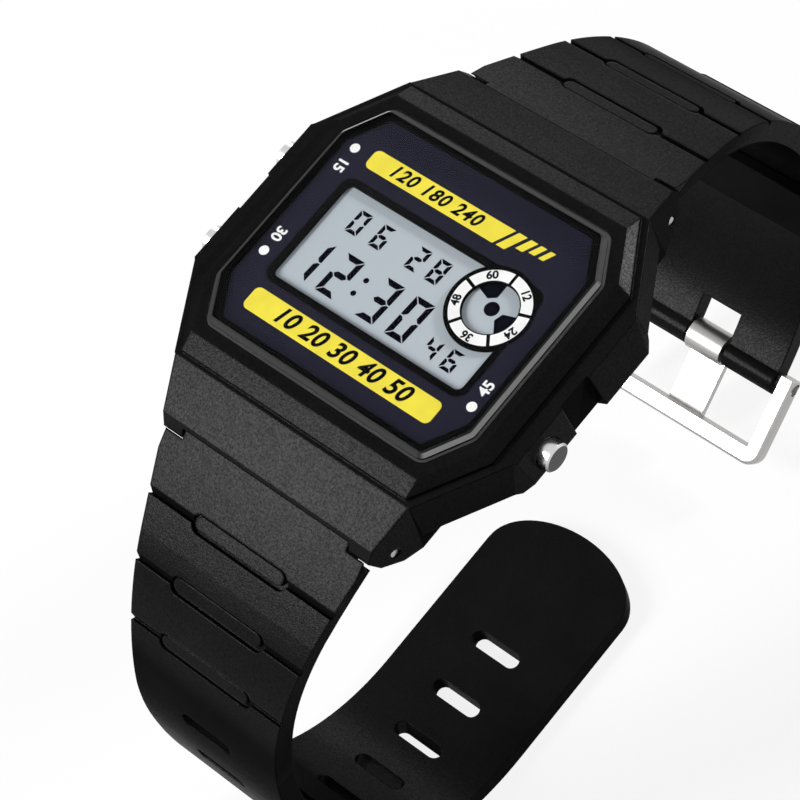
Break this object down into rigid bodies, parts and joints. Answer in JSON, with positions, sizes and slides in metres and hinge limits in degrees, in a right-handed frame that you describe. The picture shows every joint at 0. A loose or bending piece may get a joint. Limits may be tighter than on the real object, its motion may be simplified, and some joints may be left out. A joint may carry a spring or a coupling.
{
  "type": "digital wristwatch",
  "caption": "Digital wristwatch with an octagonal stepped case, side buttons, a grey display under a flat glass and a two-piece resin strap with a buckle.",
  "frame": {"origin": "middle of the case back's outer face", "axes": "+X to 3 o'clock, +Y to 12 o'clock, +Z out through the glass; the watch stands on its lower strap half with the dial level"},
  "size_m": [0.0376, 0.0787, 0.0597],
  "materials": {
    "resin": "moulded black resin, satin",
    "strap_resin": "moulded black resin, satin",
    "window": "clear, flat",
    "panel": "printed, dark blue",
    "display_cell": "grey liquid crystal cell",
    "light_plastic": "milky clear",
    "contact_rubber": "soft",
    "seal_rubber": "soft",
    "steel": "bright",
    "brass": "plain",
    "frame_plastic": "plain",
    "board": "solder mask",
    "cell_can": "bright"
  },
  "bodies": {
    "watch_case": {"case": "resin", "glass": "window", "glass_seal": "seal_rubber", "dial_panel": "panel", "display": "display_cell", "light_guide": "light_plastic", "contact_strip_upper": "contact_rubber", "contact_strip_lower": "contact_rubber", "lamp": "light_plastic", "movement_frame": "frame_plastic", "circuit_board": "board", "quartz_can": "cell_can", "battery": "cell_can", "battery_clip": "steel", "battery_holder": "frame_plastic", "buzzer_disc": "brass", "buzzer_spring": "steel", "switch_contacts": "steel", "case_back": "steel", "back_gasket": "seal_rubber", "back_screws": "steel", "button_seals": "seal_rubber", "spring_bar_upper": "steel", "spring_bar_lower": "steel", "light_button_spring": "steel", "mode_button_spring": "steel", "adjust_button_spring": "steel"},
    "light_button_body": {"light_button": "steel", "light_button_retainer": "steel"},
    "mode_button_body": {"mode_button": "steel", "mode_button_retainer": "steel"},
    "adjust_button_body": {"adjust_button": "steel", "adjust_button_retainer": "steel"},
    "upper_strap": {"strap_upper": "strap_resin", "buckle_pin": "steel"},
    "lower_strap": {"strap_lower": "strap_resin"},
    "buckle": {"buckle_frame": "steel"},
    "tang": {"buckle_tang": "steel"},
    "keeper": {"strap_keeper": "strap_resin"}
  },
  "joints": [
    {"name": "light_button_press", "type": "slide", "parent": "watch_case", "child": "light_button_body", "axis": [1, 0, 0], "range_m": [0, 0.0006], "stiffness_N_per_m": 800, "springref_m": -0.0005, "deforming": ["light_button_spring"]},
    {"name": "mode_button_press", "type": "slide", "parent": "watch_case", "child": "mode_button_body", "axis": [1, 0, 0], "range_m": [0, 0.0006], "stiffness_N_per_m": 800, "springref_m": -0.0005, "deforming": ["mode_button_spring"]},
    {"name": "adjust_button_press", "type": "slide", "parent": "watch_case", "child": "adjust_button_body", "axis": [-1, 0, 0], "range_m": [0, 0.0006], "stiffness_N_per_m": 800, "springref_m": -0.0005, "deforming": ["adjust_button_spring"]},
    {"name": "upper_strap_swing", "type": "hinge", "parent": "watch_case", "child": "upper_strap", "pos_m": [0, 0.01758, 0.00245], "axis": [1, 0, 0], "range_deg": [-60, 5]},
    {"name": "lower_strap_swing", "type": "hinge", "parent": "watch_case", "child": "lower_strap", "pos_m": [0, -0.01758, 0.00245], "axis": [1, 0, 0], "range_deg": [-8, 12]},
    {"name": "buckle_swing", "type": "hinge", "parent": "upper_strap", "child": "buckle", "pos_m": [0, 0.02685, -0.04283], "axis": [1, 0, 0], "range_deg": [-30, 70]},
    {"name": "tang_swing", "type": "hinge", "parent": "buckle", "child": "tang", "pos_m": [0, 0.02685, -0.04283], "axis": [1, 0, 0], "range_deg": [0, 70]},
    {"name": "keeper_slide", "type": "hinge", "parent": "upper_strap", "child": "keeper", "pos_m": [0, 0.01337, -0.02224], "axis": [1, 0, 0], "range_deg": [-30, 11]}
  ]
}
